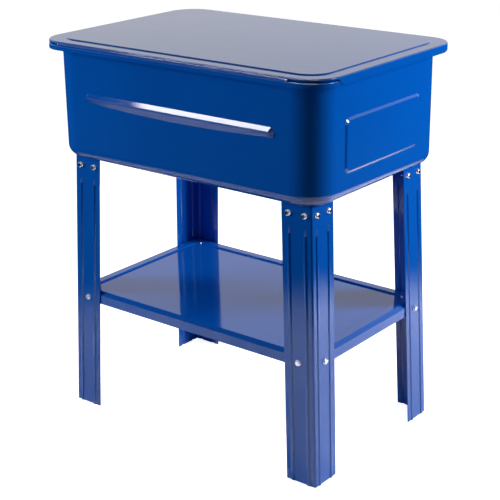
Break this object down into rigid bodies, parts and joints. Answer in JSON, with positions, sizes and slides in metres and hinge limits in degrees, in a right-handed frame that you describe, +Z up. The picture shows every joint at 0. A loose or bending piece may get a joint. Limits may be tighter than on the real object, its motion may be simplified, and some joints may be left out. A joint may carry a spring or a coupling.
{
  "type": "parts washer tank",
  "caption": "Deep pressed steel wash tank with a hinged lid on splayed angle legs, with a lower shelf, a pump, a swivelling spout and a lift-out work shelf.",
  "frame": {"origin": "on the floor under the middle of the lid", "axes": "+Z up, X along the tank's length, -Y towards the user, +Y towards the lid's hinge"},
  "size_m": [0.75, 0.5104, 0.8665],
  "materials": {
    "blue_enamel": "high gloss baked enamel",
    "zinc_fasteners": "bright zinc plate",
    "bright_steel": "zinc plated bar",
    "galvanised_steel": "galvanised sheet",
    "brass": "machined",
    "chrome_tube": "polished plate",
    "black_rubber": "matt",
    "black_plastic": "fine grain",
    "black_gloss": "gloss",
    "red_plastic": "gloss"
  },
  "bodies": {
    "tank": {"tank_shell": "blue_enamel", "leg_front_left": "blue_enamel", "leg_front_right": "blue_enamel", "leg_rear_left": "blue_enamel", "leg_rear_right": "blue_enamel", "leg_bracket_front_left": "blue_enamel", "leg_bracket_front_right": "blue_enamel", "leg_bracket_rear_left": "blue_enamel", "leg_bracket_rear_right": "blue_enamel", "leg_top_bolts": "zinc_fasteners", "leg_top_nuts": "zinc_fasteners", "shelf_bolts": "zinc_fasteners", "shelf_nuts": "zinc_fasteners", "lower_shelf": "blue_enamel", "hinge_tank_leaf": "blue_enamel", "hinge_pin": "bright_steel", "stay_stud": "bright_steel", "work_shelf_ledges": "blue_enamel", "drain_fitting": "brass", "drain_gasket": "black_rubber", "pump_feet": "black_rubber", "pump_strainer": "black_plastic", "pump_housing": "black_plastic", "pump_outlet": "brass", "delivery_hose": "black_rubber", "hose_clamps": "bright_steel", "spout_bracket": "blue_enamel", "spout_fitting": "brass", "spout_locknut": "brass", "switch_box": "blue_enamel", "switch_bezel": "black_gloss", "cord_gland": "black_plastic"},
    "lid": {"lid": "blue_enamel", "hinge_lid_leaf": "blue_enamel", "lid_bumpers": "black_rubber", "stay_lid_bracket": "blue_enamel", "stay_pivot_pin": "bright_steel"},
    "lid_stay": {"stay_upper_bar": "bright_steel", "fusible_link": "brass", "stay_slotted_bar": "bright_steel", "link_rivets": "bright_steel"},
    "work_shelf": {"work_shelf": "galvanised_steel"},
    "impeller": {"pump_impeller": "black_plastic", "pump_shaft": "bright_steel"},
    "spout": {"spout_gooseneck": "chrome_tube", "spout_nozzle": "chrome_tube"},
    "rocker": {"switch_rocker": "red_plastic"},
    "drain_plug": {"drain_plug": "brass"}
  },
  "joints": [
    {"name": "lid_hinge", "type": "hinge", "parent": "tank", "child": "lid", "pos_m": [0.003, 0.2536, 0.86], "axis": [-1, 0, 0], "range_deg": [0, 80]},
    {"name": "lid_stay_pivot", "type": "hinge", "parent": "lid", "child": "lid_stay", "pos_m": [0.336, 0.12416, 0.84799], "axis": [1, 0, 0], "range_deg": [0, 40]},
    {"name": "work_shelf_lift", "type": "slide", "parent": "tank", "child": "work_shelf", "axis": [0, 0, 1], "range_m": [0, 0.03]},
    {"name": "impeller_spin", "type": "hinge", "parent": "tank", "child": "impeller", "pos_m": [0.235, -0.02, 0.63], "axis": [0, 0, 1], "continuous": true},
    {"name": "spout_swivel", "type": "hinge", "parent": "tank", "child": "spout", "pos_m": [0.235, 0.185, 0.78], "axis": [0, 0, 1], "range_deg": [-10, 110]},
    {"name": "rocker_tilt", "type": "hinge", "parent": "tank", "child": "rocker", "pos_m": [0.23, -0.2455, 0.808], "axis": [-1, 0, 0], "range_deg": [0, 14]},
    {"name": "drain_plug_turn", "type": "hinge", "parent": "tank", "child": "drain_plug", "pos_m": [0.06, 0, 0.595], "axis": [0, 0, 1], "continuous": true}
  ],
  "couplings": [
    {"joint": "lid_stay_pivot", "follows": "lid_hinge", "ratio": 0.5}
  ]
}
